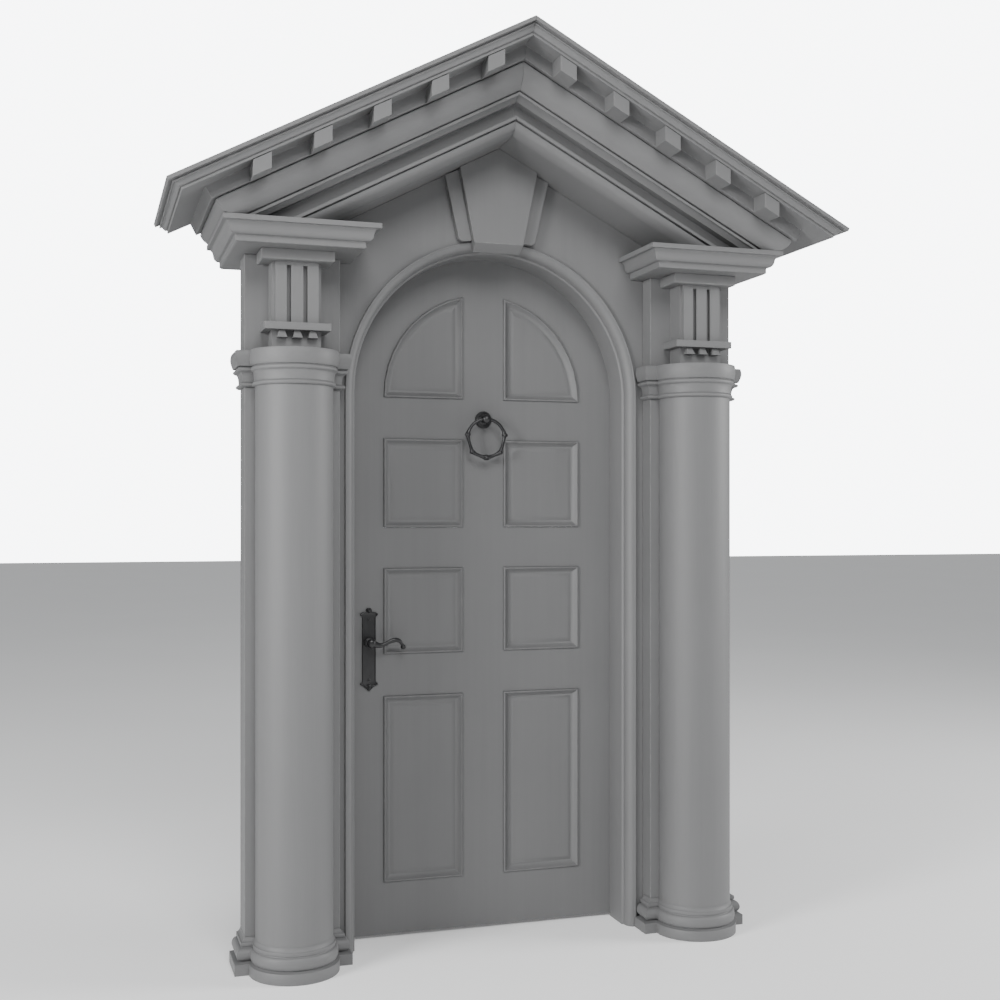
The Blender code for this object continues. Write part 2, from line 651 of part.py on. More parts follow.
def make_knocker():
    finish = iron("knocker")
    face = REVEAL_DEEP - GAP
    eye = EYE_Y
    rows = [(face, ROSE_R), (face - 0.0030, ROSE_R), (face - 0.0080, 0.88 * ROSE_R)]
    rows += [(face - 0.0120, 0.62 * ROSE_R), (face - 0.0150, 0.0125), (eye + 0.0150, 0.0120)]
    rows += [(eye + 0.0110, 0.0140), (eye + 0.0040, 0.0168), (eye - 0.0040, 0.0170)]
    rows += [(eye - 0.0110, 0.0150), (eye - 0.0160, 0.0080)]
    boss = turned("knocker_boss", (0.0, KNOCKER_Z), rows, finish, 18)
    rings = []
    for x in (-2 * EYE_R, 2 * EYE_R):
        rings.append([(x, eye + y, KNOCKER_Z + z) for y, z in circle(EYE_R, 14)])
    boolean(boss, [loft("eye", rings, finish)])

    steps, around = 28, 7
    points, faces = [], []
    for i in range(steps):
        turn = 2 * math.pi * i / steps
        x, z = ring_centre(turn)
        thick = RING_TUBE * (1 + 0.15 * (1 - math.cos(turn)))
        for out, y in circle(thick, around):
            points.append((x + out * math.sin(turn), eye + y, KNOCKER_Z + z + out * math.cos(turn)))
        for j in range(around):
            a, b, k = i * around, (i + 1) % steps * around, (j + 1) % around
            faces.append((a + j, a + k, b + k, b + j))
    ring = solid("knocker_ring", points, faces, finish, True)
    knobs = []
    for turn, size in ((math.pi, 2.2), (2.35, 1.7), (-2.35, 1.7), (1.45, 1.7), (-1.45, 1.7)):
        x, z = ring_centre(turn)
        bpy.ops.mesh.primitive_uv_sphere_add(segments=10, ring_count=6, radius=size * RING_TUBE,
                                             location=(x, eye, KNOCKER_Z + z))
        knobs.append(bpy.context.object)
    boolean(ring, knobs, "UNION")
    ring.data.shade_smooth()


# Handle plates and levers, front and back

HANDLE_X = HANDLE_FROM_EDGE - REVEAL_R


def plate_outline(shrink):
    """A long plate with a lobed crown over shoulders, and a point under shoulders."""
    top = PLATE_LONG / 2 - shrink
    wide = PLATE_HALF - shrink
    right = [(0.0, top), (0.0085, top - 0.0020), (0.0130, top - 0.0080), (0.0125, top - 0.0150)]
    horn = wide + PLATE_HORN
    right += [(horn, top - 0.0190), (horn, top - 0.0250), (wide, top - 0.0290)]
    right += [(wide, 0.0330 - top), (horn, 0.0290 - top), (horn, 0.0230 - top)]
    right += [(0.0150, 0.0130 - top), (0.0070, 0.0040 - top), (0.0, -top)]
    return right + [(-x, z) for x, z in reversed(right[1:-1])]


def make_handle(facing, word):
    finish = iron("handle " + word)
    face = REVEAL_DEEP - GAP if facing < 0 else LEAF_BACK + GAP
    rings = []
    for out, shrink in ((0.0, 0.0), (0.6 * PLATE_THICK, 0.0), (PLATE_THICK, 0.0025)):
        rings.append([(HANDLE_X + x, face + facing * out, HANDLE_Z - PLATE_DOWN + z)
                      for x, z in plate_outline(shrink)])
    plate = loft("handle_plate_" + word, rings, finish)
    rows = [(face + facing * out, radius) for out, radius in
            ((0.5 * PLATE_THICK, COLLAR_R), (0.8 * COLLAR_OUT, COLLAR_R), (COLLAR_OUT, 0.8 * COLLAR_R))]
    boolean(plate, [turned("collar", (HANDLE_X, HANDLE_Z), rows, finish, 16)], "UNION")
    start = face + facing * (COLLAR_OUT + GAP)
    rows = [(start + facing * out, radius) for out, radius in
            ((0.0, 0.0105), (0.0120, 0.0095), (0.0190, 0.0150), (0.0320, 0.0160), (LEVER_REACH, 0.0100))]
    lever = turned("lever_" + word, (HANDLE_X, HANDLE_Z), rows, finish, 14)
    rings = []
    for i in range(17):
        share = i / 16
        x = HANDLE_X + 0.0010 + LEVER_LONG * (share if share < 0.85 else 0.85 + 0.15 * math.sin((share - 0.85) * 10.4))
        wave = -0.0062 * math.sin(math.pi * min(share / 0.46, 1.0))
        crest = 0.0100 * math.sin(math.pi * max(0.0, share - 0.42) / 0.58) - 0.0150 * max(0.0, share - 0.75) ** 2 * 16
        tall = LEVER_R * (1 - 0.35 * math.sin(math.pi * min(1.0, share / 1.1)))
        rings.append([(x, start + facing * LEVER_STAND + 0.8 * y, HANDLE_Z + wave + crest + z)
                      for y, z in circle(tall, 8)])
    boolean(lever, [loft("arm", rings, finish, True)], "UNION")
    lever.data.shade_smooth()


for way, place in ((-1, "left"), (1, "right")):
    make_column(way, place)
    make_frieze(way, place)
    make_impost(way, place)
    make_rake(way, place)
make_wall()
make_casing()
make_keystone()
make_door()
make_hinges()
make_knocker()
make_handle(-1, "front")
make_handle(1, "back")


# What moves hangs from an empty on its axis, and all of it stands about the middle of its box

def axis_empty(name, place, holder, holder_place):
    empty = bpy.data.objects.new(name, None)
    bpy.context.scene.collection.objects.link(empty)
    empty.location = [a - b for a, b in zip(place, holder_place)]
    empty.parent = holder
    return empty


def hold(empty, place, names):
    """Parents the named pieces to an empty, and leaves them where they are."""
    for made in bpy.data.objects:
        if made.type == "MESH" and made.name.startswith(names):
            made.parent = empty
            made.matrix_parent_inverse = Matrix.Translation([-c for c in place])


REAR = LEAF_BACK + 2 * GAP + COLLAR_OUT + LEVER_REACH
ORIGIN = (0.0, 0.0, 0.0)
HINGE_PLACE = (HINGE_X, HINGE_Y, 0.0)
LEVER_PLACE = (HANDLE_X, REVEAL_DEEP, HANDLE_Z)
RING_PLACE = (0.0, EYE_Y, KNOCKER_Z)
doorset = axis_empty("doorset", ORIGIN, None, ORIGIN)
door_axis = axis_empty("door_axis", HINGE_PLACE, doorset, ORIGIN)
lever_axis = axis_empty("lever_axis", LEVER_PLACE, door_axis, HINGE_PLACE)
ring_axis = axis_empty("ring_axis", RING_PLACE, door_axis, HINGE_PLACE)
hold(doorset, ORIGIN, "")
hold(door_axis, HINGE_PLACE, ("door_", "hinge_", "knocker_boss", "handle_plate"))
hold(lever_axis, LEVER_PLACE, "lever_")
hold(ring_axis, RING_PLACE, "knocker_ring")
doorset.location.y = (RAKE_FRONT - REAR) / 2
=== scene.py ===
import bmesh
import bpy
import math
from mathutils import Matrix, Vector


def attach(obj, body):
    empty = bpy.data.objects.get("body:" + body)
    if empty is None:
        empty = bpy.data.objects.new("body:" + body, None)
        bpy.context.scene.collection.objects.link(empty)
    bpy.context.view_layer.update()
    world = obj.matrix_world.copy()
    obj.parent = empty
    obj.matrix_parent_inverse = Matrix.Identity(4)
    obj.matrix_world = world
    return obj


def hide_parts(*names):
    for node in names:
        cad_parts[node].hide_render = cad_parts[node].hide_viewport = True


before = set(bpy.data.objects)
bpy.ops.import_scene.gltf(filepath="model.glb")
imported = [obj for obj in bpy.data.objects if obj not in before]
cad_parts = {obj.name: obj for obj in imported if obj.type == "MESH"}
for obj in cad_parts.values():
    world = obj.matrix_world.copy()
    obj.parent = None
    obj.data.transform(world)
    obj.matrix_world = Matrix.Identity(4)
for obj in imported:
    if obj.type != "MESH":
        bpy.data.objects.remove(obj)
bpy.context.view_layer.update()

# The studio. The doorset stands on a pale floor between a soft window at the far left and a
# weaker one at the right, with a fill high in front, and is seen from left of its middle.
camera = bpy.data.objects.new("camera", bpy.data.cameras.new("camera"))
camera.data.sensor_width = 36.0
camera.data.lens = 47.69
camera.data.shift_y = 0.0189
camera.data.clip_end = 100.0
camera.location = (-1.3038, -4.0342, 1.3739)
camera.rotation_euler = (math.radians(90), 0.0, -0.3101)
bpy.context.scene.collection.objects.link(camera)
bpy.context.scene.camera = camera


def window(name, place, size, watts):
    light = bpy.data.objects.new(name, bpy.data.lights.new(name, "AREA"))
    light.data.shape = "DISK"
    light.data.size = size
    light.data.energy = watts
    light.location = place
    light.rotation_euler = (Vector((0, 0, 1.3)) - Vector(place)).to_track_quat("-Z", "Y").to_euler()
    bpy.context.scene.collection.objects.link(light)


window("left window", (-6.5, -3.2, 2.8), 2.6, 560)
window("right window", (6.5, -1.6, 2.8), 2.6, 380)
window("front fill", (-0.5, -6.0, 6.0), 3.5, 330)


class Shade:
    """A value on its way through a paint or a metal: sums written with it become its nodes."""

    def __init__(self, tree, socket=None):
        self.tree = tree
        self.socket = socket

    def feed(self, socket, value):
        if isinstance(value, Shade):
            self.tree.links.new(value.socket, socket)
        else:
            socket.default_value = value

    def node(self, kind, settings, values, out=0):
        made = self.tree.nodes.new("ShaderNode" + kind)
        for key, value in settings.items():
            if key == "stops":
                made.color_ramp.elements[0].position, made.color_ramp.elements[1].position = value
            else:
                setattr(made, key, value)
        for key, value in values.items():
            self.feed(made.inputs[key], value)
        return Shade(self.tree, made.outputs[out])

    def reckon(self, operation, first, second):
        return self.node("Math", {"operation": operation}, {0: first, 1: second})

    def __add__(self, other):
        return self.reckon("ADD", self, other)

    def __mul__(self, other):
        return self.reckon("MULTIPLY", self, other)

    __radd__ = __add__
    __rmul__ = __mul__

    def over(self, under, mask):
        """This colour laid over another where the mask is 1."""
        return self.node("Mix", {"data_type": "RGBA"}, {0: mask, 6: under, 7: self}, 2)

    def colour(self, red, green, blue):
        return self.node("CombineColor", {}, {0: red, 1: green, 2: blue})


ROOM_GLOW = 0.36             # on the piece itself
BACKDROP_GLOW = 7.6          # added where the backdrop is seen
sky = bpy.data.worlds.new("studio")
sky.use_nodes = True
bpy.context.scene.world = sky
air = Shade(sky.node_tree)
seen = air.node("LightPath", {}, {}, "Is Camera Ray")
air.feed(sky.node_tree.nodes["Background"].inputs["Color"], (0.96, 0.98, 1.0, 1.0))
air.feed(sky.node_tree.nodes["Background"].inputs["Strength"], ROOM_GLOW + seen * BACKDROP_GLOW)


def floor_finish():
    made = bpy.data.materials.new("floor")
    made.use_nodes = True
    shade = Shade(made.node_tree)
    place = shade.node("TexCoord", {}, {}, "Object")
    cloud = shade.node("TexNoise", {}, {"Vector": place, "Scale": 0.6, "Detail": 3.0})
    shader = made.node_tree.nodes["Principled BSDF"]
    tone = 0.91 + cloud * 0.05
    shade.feed(shader.inputs["Base Color"], shade.colour(tone, tone, tone))
    shader.inputs["Roughness"].default_value = 0.85
    shade.feed(shader.inputs["Emission Color"], shade.colour(tone, tone, tone))
    shader.inputs["Emission Strength"].default_value = 0.12
    return made


FLOOR_HALF = 40
corners = [(x * FLOOR_HALF, y * FLOOR_HALF, 0) for x, y in ((-1, -1), (1, -1), (1, 1), (-1, 1))]
floor_mesh = bpy.data.meshes.new("floor")
floor_mesh.from_pydata(corners, [], [(0, 1, 2, 3)])
floor_mesh.materials.append(floor_finish())
floor = bpy.data.objects.new("floor", floor_mesh)
bpy.context.scene.collection.objects.link(floor)


# The wall panel: the flat boards of tympanum and spandrels, cut round the arch. It is joinery
# with eased arrises, rubbed down and brushed with one grey eggshell along the length of the boards.
REST_ON_WALL = 0.13575       # the piers' flat backs, behind the origin
GREY = 0.125
WORN = 0.19                  # the primer that shows at a rubbed arris
WELD = 1e-5                  # points nearer than this are one
FLAT = math.radians(0.6)     # faces that turn by less are one board


def brushed_paint(name, grey, across):
    """Grey eggshell: brush marks run square to the axis named, arrises are rubbed paler."""
    made = bpy.data.materials.new(name)
    made.use_nodes = True
    shade = Shade(made.node_tree)
    place = shade.node("TexCoord", {}, {}, "Object")
    squeeze = {"x": (420.0, 90.0, 9.0), "z": (9.0, 90.0, 420.0)}[across]
    fine = shade.node("Mapping", {}, {"Vector": place, "Scale": squeeze})
    strokes = shade.node("TexNoise", {}, {"Vector": fine, "Scale": 1.0, "Detail": 4.0})
    broad = [s * 0.12 for s in squeeze]
    loads = shade.node("Mapping", {}, {"Vector": place, "Scale": broad})
    loads = shade.node("TexNoise", {}, {"Vector": loads, "Scale": 1.0, "Detail": 3.0})
    cloud = shade.node("TexNoise", {}, {"Vector": place, "Scale": 2.6, "Detail": 5.0})
    dust = shade.node("TexNoise", {}, {"Vector": place, "Scale": 900.0, "Detail": 2.0})
    rub = shade.node("TexNoise", {}, {"Vector": place, "Scale": 34.0, "Detail": 6.0})
    rub = shade.node("ValToRGB", {"stops": (0.46, 0.64)}, {0: rub})
    edge = shade.node("Attribute", {"attribute_name": "arris"}, {}, "Fac")
    worn = edge * rub * 0.85
    tone = grey * 0.86 + cloud * (grey * 0.16) + loads * (grey * 0.09) + strokes * (grey * 0.06)
    coat = shade.colour(tone, tone * 1.004, tone * 1.012)
    bare = cloud * 0.04 + WORN
    primer = shade.colour(bare, bare, cloud * 0.04 + WORN * 0.98)
    shader = made.node_tree.nodes["Principled BSDF"]
    shade.feed(shader.inputs["Base Color"], primer.over(coat, worn))
    shade.feed(shader.inputs["Roughness"], 0.47 + cloud * 0.12 + strokes * 0.06 + worn * 0.08)
    height = strokes * 0.7 + loads * 0.5 + dust * 0.16
    bump = shade.node("Bump", {}, {"Strength": 0.26, "Distance": 0.0012, "Height": height})
    shade.feed(shader.inputs["Normal"], bump)
    return made


upright = brushed_paint("surround paint upright", GREY, "x")
level = brushed_paint("surround paint level", GREY, "z")


def finish_mesh(name, work, body, coat, ease, turn=24, crease=38):
    """Rounds each arris sharper than turn by ease and marks it; shading breaks at the crease."""
    bmesh.ops.remove_doubles(work, verts=work.verts, dist=WELD)
    bmesh.ops.dissolve_limit(work, angle_limit=FLAT, verts=work.verts, edges=work.edges)
    bmesh.ops.recalc_face_normals(work, faces=work.faces)
    mark = work.verts.layers.float.new("arris")
    if ease:
        sharp = [e for e in work.edges
                 if len(e.link_faces) == 2 and e.calc_face_angle(0) > math.radians(turn)]
        made = bmesh.ops.bevel(work, geom=sharp, offset=ease, segments=2, profile=0.6,
                               affect="EDGES", clamp_overlap=True)
        rounded = set(made["faces"])
        for vert in {v for face in rounded for v in face.verts}:
            vert[mark] = float(rounded.issuperset(vert.link_faces))
    mesh = bpy.data.meshes.new(name)
    work.to_mesh(mesh)
    work.free()
    mesh.materials.append(coat)
    mesh.shade_smooth()
    mesh.set_sharp_from_angle(angle=math.radians(crease))
    piece = bpy.data.objects.new(name, mesh)
    bpy.context.scene.collection.objects.link(piece)
    if ease:
        piece.modifiers.new("flat boards", "WEIGHTED_NORMAL").keep_sharp = True
    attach(piece, body)
    return piece


def eased(node, body, coat, ease=0.0012, turn=24, crease=38):
    """A plain board or block as it is set out, with its arrises taken off."""
    work = bmesh.new()
    work.from_mesh(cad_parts[node].data)
    piece = finish_mesh(node + "_eased", work, body, coat, ease, turn, crease)
    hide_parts(node)


eased("wall_panel", "surround", upright)


# The piers and the blocks that stand on them up to the impost: boxed boards, glued at the
# corners, with the half-round shafts planted on their faces.
for word in ("left", "right"):
    eased("pier_" + word, "surround", upright, 0.0015)
    eased("upper_pier_" + word, "surround", upright, 0.0015)


# Bases, shafts and capitals: each is turned as a half round and housed over a square pier, with
# the same moulding run along the pier's face and returned at both of its sides.
SHAFT_X = 0.6699
PIER_HALF = 0.1458
PIER_FACE = REST_ON_WALL - 0.1105
SHAFT_Y = PIER_FACE - 0.0325
SHAFT_R = 0.1175
SHAFT_HEIGHTS = (0.1073, 0.1090, 1.7715, 1.7731)
ROUND_SHARE = 0.58           # how far a moulding stands out round the shaft, as a share of the pier's
CASING_FACE = REST_ON_WALL - 0.0591


def half_round_ring(side, out, z, steps=56):
    """Square pier and round shaft in one outline, grown by out, and less at the round."""
    half, face, radius = PIER_HALF + out, PIER_FACE - out, SHAFT_R + ROUND_SHARE * out
    start = math.asin((face - SHAFT_Y) / radius)
    turns = [start - (math.pi + 2 * start) * i / steps for i in range(steps + 1)]
    ring = [(half, REST_ON_WALL), (half, face)]
    ring += [(radius * math.cos(t), SHAFT_Y + radius * math.sin(t)) for t in turns]
    ring += [(-half, face), (-half, CASING_FACE)]
    ring += [(-PIER_HALF, CASING_FACE), (-PIER_HALF, REST_ON_WALL)]
    return [(side * (SHAFT_X + x), y, z) for x, y in ring]


def stacked(rings, endless=False):
    """Skins a stack of rings, and closes both ends or joins the last ring to the first."""
    work = bmesh.new()
    skins = [[work.verts.new(p) for p in ring] for ring in rings]
    for below, above in zip(skins, skins[1:] + skins[:1] if endless else skins[1:]):
        for i in range(len(below)):
            j = (i + 1) % len(below)
            work.faces.new((below[i], below[j], above[j], above[i]))
    if not endless:
        work.faces.new(skins[0])
        work.faces.new(skins[-1])
    return work


def bulge(low, high, inner, outer, steps):
    """A torus or bead between two heights."""
    turns = [math.pi * i / steps for i in range(steps + 1)]
    return [(inner + (outer - inner) * math.sin(t), (low + high) / 2 - (high - low) / 2 * math.cos(t))
            for t in turns]


def hollow(low, high, inner, outer, steps):
    """A cavetto that leaves the lower row upright and ends flat under the upper one."""
    turns = [math.pi / 2 * i / steps for i in range(steps + 1)]
    return [(inner + (outer - inner) * (1 - math.cos(t)), low + (high - low) * math.sin(t))
            for t in turns]


# each row is how far the moulding stands out, and its height
base_rows = [(0.0330, 0.0), (0.0340, 0.0010), (0.0340, 0.0330), (0.0330, 0.0340), (0.0190, 0.0355)]
base_rows += bulge(0.0390, 0.0780, 0.0113, 0.0270, 16)
base_rows += [(0.0093, 0.0805), (0.0125, 0.0818), (0.0131, 0.0826), (0.0131, 0.0920), (0.0124, 0.0930)]
base_rows += [(0.0003 + 0.0085 * (1 - s / 8) ** 2, 0.0932 + 0.0138 * s / 8) for s in range(9)]
capital_rows = bulge(1.7734, 1.7884, 0.0003, 0.0148, 10)[:-1] + [(0.0059, 1.7884)]
capital_rows += hollow(1.7890, 1.8180, 0.0059, 0.0132, 8)
capital_rows += bulge(1.8190, 1.8325, 0.0132, 0.0232, 10)[1:-1]
capital_rows += [(0.0150, 1.8330), (0.0150, 1.8348), (0.0225, 1.8352)]
capital_rows += [(0.0236 + 0.0078 * math.sin(math.pi * s / 15), 1.8360 + 0.0460 * s / 12)
                 for s in range(13)]
capital_rows += [(0.0236, 1.8830)]

for side, word in ((-1, "left"), (1, "right")):
    for kind, rows in (("base", base_rows), ("capital", capital_rows)):
        rings = [half_round_ring(side, out, z) for out, z in rows]
        name = "column_" + kind + "_" + word
        piece = finish_mesh(name + "_turned", stacked(rings), "surround", level, 0.0)
        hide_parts(name)
    # the round alone, without the pier's two corners before it and four after it
    rings = [half_round_ring(side, 0.0, z, 72)[2:-4] for z in SHAFT_HEIGHTS]
    shaft = finish_mesh("column_shaft_%s_turned" % word, stacked(rings), "surround", upright,
                        0.0)
    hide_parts("column_shaft_" + word)


# The frieze blocks over the capitals: three legs with sunk channels between them, a square cap,
# a thin regula, and three guttae glued under it.
for word in ("left", "right"):
    eased("triglyph_" + word, "surround", upright, 0.0010)
    eased("triglyph_cap_" + word, "surround", level, 0.0014)
    eased("regula_" + word, "surround", level, 0.0012)
    for number in (1, 2, 3):
        eased("gutta_%d_%s" % (number, word), "surround", upright, 0.0010)


# The impost cornices and the raking cornices: moulded lengths glued up on blocking, mitred at
# every return and at the apex, with the mutules planted under the soffit.
for word in ("left", "right"):
    eased("impost_cornice_" + word, "surround", level, 0.0010, 34)
    eased("raking_cornice_" + word, "surround", level, 0.0011, 34)
    for number in range(1, 6):
        eased("mutule_%d_%s" % (number, word), "surround", level, 0.0012)


# The casing: uprights and archivolt in one moulded section, with the rebate for the door and the
# lining behind it. It is bent over the arch in thin layers, so its round shows no joint.
REVEAL_R = 0.4588
REBATE_R = 0.4730
CASING_R = 0.4965
LINING_R = 0.5238
SPRING_Z = 1.7810
LEAF_FACE = 0.0851           # the door's front, as all depths here from the piers' flat backs
LINING_BACK = 0.1299
ARCH_STEPS = 96

casing_section = [(CASING_R, -0.0560), (0.4959, -0.0580), (0.4945, -0.0585), (0.4925, -0.0585),
                  (0.4912, -0.0572)]
for s in range(1, 15):
    turn = s / 14 * math.pi / 2
    casing_section.append((0.4905 - 0.0255 * math.sin(turn), -0.0225 - 0.0345 * math.cos(turn)))
casing_section += [(0.4640, -0.0215), (0.4615, -0.0205), (0.4597, -0.0185), (REVEAL_R, -0.0165)]
casing_section += [(REVEAL_R, LEAF_FACE), (REBATE_R, LEAF_FACE), (REBATE_R, LINING_BACK)]
casing_section += [(LINING_R, LINING_BACK), (LINING_R, 0.0003), (CASING_R, 0.0003)]
casing_section = [(r, REST_ON_WALL + y) for r, y in casing_section]
rings = [[(r, y, 0.0) for r, y in casing_section]]
for i in range(ARCH_STEPS + 1):
    turn = math.pi * i / ARCH_STEPS
    rings.append([(r * math.cos(turn), y, SPRING_Z + r * math.sin(turn))
                  for r, y in casing_section])
rings.append([(-r, y, 0.0) for r, y in casing_section])
casing = finish_mesh("casing_moulded", stacked(rings), "surround", upright, 0.0)
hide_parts("casing")


# The keystone breaks forward over the crown of the arch, with a narrower stone at each side.
for node in ("keystone", "side_stone_left", "side_stone_right"):
    eased(node, "surround", upright, 0.0018)


# The door: a framed leaf with a round head, four panels to each side of the muntin, each held by
# a bolection moulding mitred round it. It has the same grey as the surround, a shade deeper.
door_upright = brushed_paint("door paint upright", GREY * 0.95, "x")
eased("door_leaf", "door", door_upright, 0.0010)
for row in ("arched", "upper", "middle", "lower"):
    for word in ("left", "right"):
        eased("door_panel_%s_%s" % (row, word), "door", door_upright, 0.0007, 40, 17)


# The hinges: the knuckles of three butt hinges behind the door's right edge, each of five turned
# barrels on one pin, blacked like the rest of the furniture.
KNUCKLE_R = 0.0060
BARREL_TALL = 0.0176
BARRELS = 5
PIN_X, PIN_Y = 0.4715, REST_ON_WALL + 0.1364


def blacked_iron(name, pitted):
    """Japanned iron: near black and glossy, a little uneven from the casting, rubbed at the arrises."""
    made = bpy.data.materials.new(name)
    made.use_nodes = True
    shade = Shade(made.node_tree)
    place = shade.node("TexCoord", {}, {}, "Object")
    cast = shade.node("TexNoise", {}, {"Vector": place, "Scale": 240.0, "Detail": 4.0})
    grain = shade.node("TexNoise", {}, {"Vector": place, "Scale": 1400.0, "Detail": 2.0})
    handled = shade.node("TexNoise", {}, {"Vector": place, "Scale": 46.0, "Detail": 5.0})
    rub = shade.node("ValToRGB", {"stops": (0.45, 0.62)}, {0: handled})
    edge = shade.node("Attribute", {"attribute_name": "arris"}, {}, "Fac")
    worn = edge * rub * 0.8
    tone = 0.010 + handled * 0.010
    black = shade.colour(tone, tone, tone * 1.06)
    bright = shade.colour(0.16 + cast * 0.06, 0.155 + cast * 0.06, 0.15 + cast * 0.06)
    shader = made.node_tree.nodes["Principled BSDF"]
    shade.feed(shader.inputs["Base Color"], bright.over(black, worn))
    shade.feed(shader.inputs["Roughness"], 0.20 + handled * 0.16 + grain * 0.06)
    shade.feed(shader.inputs["Metallic"], 0.10 + worn * 0.8)
    height = cast * pitted + grain * 0.15
    bump = shade.node("Bump", {}, {"Strength": 0.30, "Distance": 0.0006, "Height": height})
    shade.feed(shader.inputs["Normal"], bump)
    return made


iron = blacked_iron("blacked iron", 0.8)


def turned(rows, place, steps=40):
    """A lathe piece: rows of distance along its axis and radius, put where place says."""
    rings = []
    for along, radius in rows:
        turns = [2 * math.pi * i / steps for i in range(steps)]
        rings.append([place(radius * math.cos(t), radius * math.sin(t), along) for t in turns])
    return stacked(rings)


pin_head = [(0.0446, 0.0036), (0.0462, 0.0044), (0.0480, 0.0040), (0.0495, 0.0028), (0.0500, 0.0010)]
knuckle_rows = [(-along, radius) for along, radius in reversed(pin_head)]
for barrel in range(BARRELS):
    low = (barrel - BARRELS / 2) * BARREL_TALL
    knuckle_rows += [(low, 0.0052), (low + 0.0006, KNUCKLE_R)]
    knuckle_rows += [(low + 0.0168, KNUCKLE_R), (low + 0.0174, 0.0052)]
knuckle_rows += pin_head
for number, middle in ((1, 0.2500), (2, 1.0500), (3, 1.6500)):
    work = turned(knuckle_rows, lambda x, y, z: (PIN_X + x, PIN_Y + y, middle + z), 24)
    knuckle = finish_mesh("hinge_%d_knuckle" % number, work, "door", iron, 0.0)
    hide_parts("hinge_%d" % number)


# The knocker's boss: a domed rose screwed to the muntin, a short neck, and a pierced ball that the
# ring hangs in. It is cast in one piece.
KNOCKER_Z = 1.7060
EYE_Y = REST_ON_WALL + 0.0480
LEAF_Y = REST_ON_WALL + LEAF_FACE


def pierce(work, cutter):
    """Cuts one closed mesh from another."""
    pieces = []
    for body in (work, cutter):
        mesh = bpy.data.meshes.new("blank")
        bmesh.ops.recalc_face_normals(body, faces=body.faces)
        body.to_mesh(mesh)
        body.free()
        pieces.append(bpy.data.objects.new("blank", mesh))
        bpy.context.scene.collection.objects.link(pieces[-1])
    step = pieces[0].modifiers.new("pierce", "BOOLEAN")
    step.object = pieces[1]
    step.solver = "EXACT"
    cut = pieces[0].evaluated_get(bpy.context.evaluated_depsgraph_get()).to_mesh()
    result = bmesh.new()
    result.from_mesh(cut)
    for piece in pieces:
        bpy.data.objects.remove(piece)
    return result


rose_rows = [(0.0, 0.0286), (0.0008, 0.0290), (0.0026, 0.0290), (0.0034, 0.0284), (0.0036, 0.0266)]
rose_rows += [(0.0050, 0.0260), (0.0068, 0.0248), (0.0082, 0.0232), (0.0090, 0.0214), (0.0082, 0.0202)]
rose_rows += [(0.0096, 0.0192), (0.0112, 0.0178), (0.0126, 0.0156), (0.0140, 0.0134), (0.0156, 0.0120)]
rose_rows += [(0.0180, 0.0112), (0.0205, 0.0112), (0.0222, 0.0126), (0.0236, 0.0130), (0.0246, 0.0118)]
ball = [math.radians(a) for a in (-48, -36, -24, -12, 0, 12, 24, 36, 48, 60, 72, 82, 87)]
rose_rows += [(0.0371 + 0.0160 * math.sin(t), 0.0168 * math.cos(t)) for t in ball]
boss = turned(rose_rows, lambda x, z, y: (x, LEAF_Y - y, KNOCKER_Z + z), 48)
eye = turned([(-0.0300, 0.0086), (0.0300, 0.0086)], lambda y, z, x: (x, EYE_Y + y, KNOCKER_Z + z), 32)
boss = finish_mesh("knocker_boss_cast", pierce(boss, eye), "door", iron, 0.0006, 44)
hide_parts("knocker_boss")


# The knocker's ring: a forged ring drawn to a point in flat sides, with a knop at each change of
# side and a lobed one at the foot, where it strikes.
def flowing(points, steps, endless=False):
    """A smooth line through points of across, up and thickness."""
    line = []
    count = len(points)
    for i in range(count if endless else count - 1):
        near = [(i + k) % count if endless else min(max(i + k, 0), count - 1) for k in (-1, 0, 1, 2)]
        a, b, c, d = [Vector(points[k]) for k in near]
        for t in [s / steps for s in range(steps)]:
            line.append(0.5 * (2 * b + (c - a) * t + (2 * a - 5 * b + 4 * c - d) * t * t
                               + (3 * b - a - 3 * c + d) * t ** 3))
    return line if endless else line + [Vector(points[-1])]


def forged(line, place, around=16, endless=False, flat=1.0):
    """A bar drawn along the line, round or a little flattened front to back."""
    sections = []
    for i, at in enumerate(line):
        ahead = line[(i + 1) % len(line)] if endless else line[min(i + 1, len(line) - 1)]
        behind = line[i - 1] if endless or i else line[0]
        along = Vector((ahead.x - behind.x, ahead.y - behind.y)).normalized()
        turns = [2 * math.pi * j / around for j in range(around)]
        sections.append([place(at.x + along.y * at.z * math.cos(t), at.y - along.x * at.z * math.cos(t),
                               flat * at.z * math.sin(t)) for t in turns])
    return stacked(sections, endless)


side_of_ring = [(0.0240, -0.0040, 0.0056), (0.0450, -0.0170, 0.0054), (0.0580, -0.0345, 0.0054),
                (0.0625, -0.0440, 0.0068), (0.0640, -0.0520, 0.0074), (0.0632, -0.0600, 0.0064),
                (0.0605, -0.0720, 0.0052), (0.0560, -0.0880, 0.0052), (0.0515, -0.1010, 0.0060),
                (0.0475, -0.1095, 0.0074), (0.0390, -0.1150, 0.0060), (0.0260, -0.1205, 0.0054),
                (0.0120, -0.1255, 0.0066)]
ring_line = [(0.0, 0.0, 0.0058)] + side_of_ring + [(0.0, -0.1270, 0.0080)]
ring_line += [(-x, z, thick) for x, z, thick in reversed(side_of_ring)]
work = forged(flowing(ring_line, 6, True), lambda x, z, y: (x, EYE_Y + y, KNOCKER_Z + z), 16, True)
side_knops = [(0.0645, -0.0520, 0.0090, 6), (0.0480, -0.1098, 0.0090, 6)]
foot_knop = (0.0, -0.1275, 0.0118, 8)
other_knops = [(-x, z, size, petals) for x, z, size, petals in side_knops]
